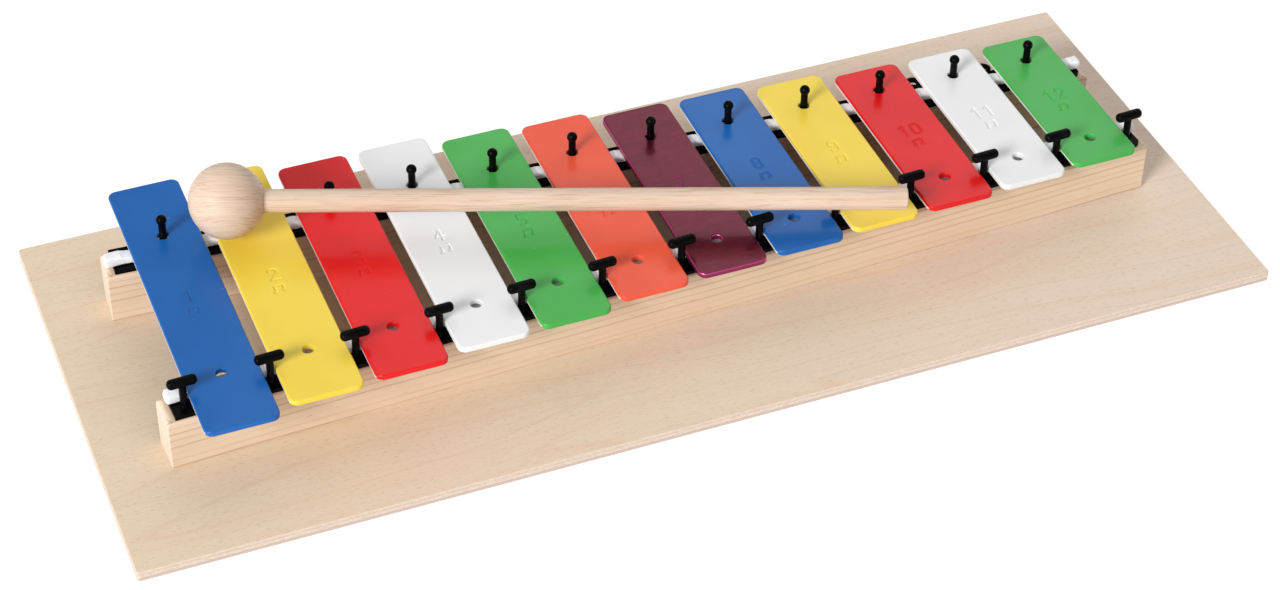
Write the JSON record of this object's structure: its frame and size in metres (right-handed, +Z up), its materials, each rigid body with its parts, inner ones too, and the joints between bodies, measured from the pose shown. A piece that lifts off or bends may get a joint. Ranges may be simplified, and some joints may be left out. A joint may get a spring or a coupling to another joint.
{
  "type": "metallophone",
  "caption": "Table metallophone with painted tuned metal bars on two converging wooden rails, a plywood board and a wooden ball mallet.",
  "frame": {"origin": "centre of the board's underside", "axes": "+X along the board from the low bars to the high bars, +Y away from the player across the bars, +Z up"},
  "size_m": [0.406, 0.168, 0.0593],
  "materials": {
    "birch_plywood": "pale birch plywood, sanded, fine straight grain, plies showing on the edges",
    "pine": "planed softwood with straight annual rings",
    "beech": "turned pale beech with short fine flecks",
    "zinc_steel": "bright zinc plate",
    "black_moulding": "glossy black flexible plastic",
    "white_felt": "pressed white felt",
    "blue_enamel": "smooth glossy blue enamel",
    "yellow_enamel": "smooth glossy yellow enamel",
    "red_enamel": "smooth glossy red enamel",
    "white_enamel": "smooth glossy white enamel",
    "green_enamel": "smooth glossy green enamel",
    "orange_enamel": "smooth glossy orange enamel",
    "purple_enamel": "glossy purple lacquer over bright metal"
  },
  "bodies": {
    "stand": {"base_board": "birch_plywood", "front_rail": "pine", "rear_rail": "pine", "front_rail_screws": "zinc_steel", "rear_rail_screws": "zinc_steel", "front_pin_strip": "black_moulding", "rear_pin_strip": "black_moulding", "front_strip_tacks": "zinc_steel", "rear_strip_tacks": "zinc_steel", "front_felt": "white_felt", "rear_felt": "white_felt"},
    "low_c": {"low_c_bar": "blue_enamel"},
    "low_d": {"low_d_bar": "yellow_enamel"},
    "low_e": {"low_e_bar": "red_enamel"},
    "low_f": {"low_f_bar": "white_enamel"},
    "low_g": {"low_g_bar": "green_enamel"},
    "a": {"a_bar": "orange_enamel"},
    "b": {"b_bar": "purple_enamel"},
    "high_c": {"high_c_bar": "blue_enamel"},
    "high_d": {"high_d_bar": "yellow_enamel"},
    "high_e": {"high_e_bar": "red_enamel"},
    "high_f": {"high_f_bar": "white_enamel"},
    "high_g": {"high_g_bar": "green_enamel"},
    "mallet": {"mallet_ball": "beech", "mallet_stick": "beech"}
  },
  "joints": [
    {"name": "low_c_hop", "type": "slide", "parent": "stand", "child": "low_c", "axis": [0, 0, 1], "range_m": [0, 0.0032]},
    {"name": "low_d_hop", "type": "slide", "parent": "stand", "child": "low_d", "axis": [0, 0, 1], "range_m": [0, 0.0029]},
    {"name": "low_e_hop", "type": "slide", "parent": "stand", "child": "low_e", "axis": [0, 0, 1], "range_m": [0, 0.0032]},
    {"name": "low_f_hop", "type": "slide", "parent": "stand", "child": "low_f", "axis": [0, 0, 1], "range_m": [0, 0.0032]},
    {"name": "low_g_hop", "type": "slide", "parent": "stand", "child": "low_g", "axis": [0, 0, 1], "range_m": [0, 0.0032]},
    {"name": "a_hop", "type": "slide", "parent": "stand", "child": "a", "axis": [0, 0, 1], "range_m": [0, 0.0032]},
    {"name": "b_hop", "type": "slide", "parent": "stand", "child": "b", "axis": [0, 0, 1], "range_m": [0, 0.0032]},
    {"name": "high_c_hop", "type": "slide", "parent": "stand", "child": "high_c", "axis": [0, 0, 1], "range_m": [0, 0.0032]},
    {"name": "high_d_hop", "type": "slide", "parent": "stand", "child": "high_d", "axis": [0, 0, 1], "range_m": [0, 0.0032]},
    {"name": "high_e_hop", "type": "slide", "parent": "stand", "child": "high_e", "axis": [0, 0, 1], "range_m": [0, 0.0032]},
    {"name": "high_f_hop", "type": "slide", "parent": "stand", "child": "high_f", "axis": [0, 0, 1], "range_m": [0, 0.0032]},
    {"name": "high_g_hop", "type": "slide", "parent": "stand", "child": "high_g", "axis": [0, 0, 1], "range_m": [0, 0.0032]},
    {"name": "mallet_lift", "type": "slide", "parent": "stand", "child": "mallet", "axis": [0, 0, 1], "range_m": [0, 0.06]}
  ]
}
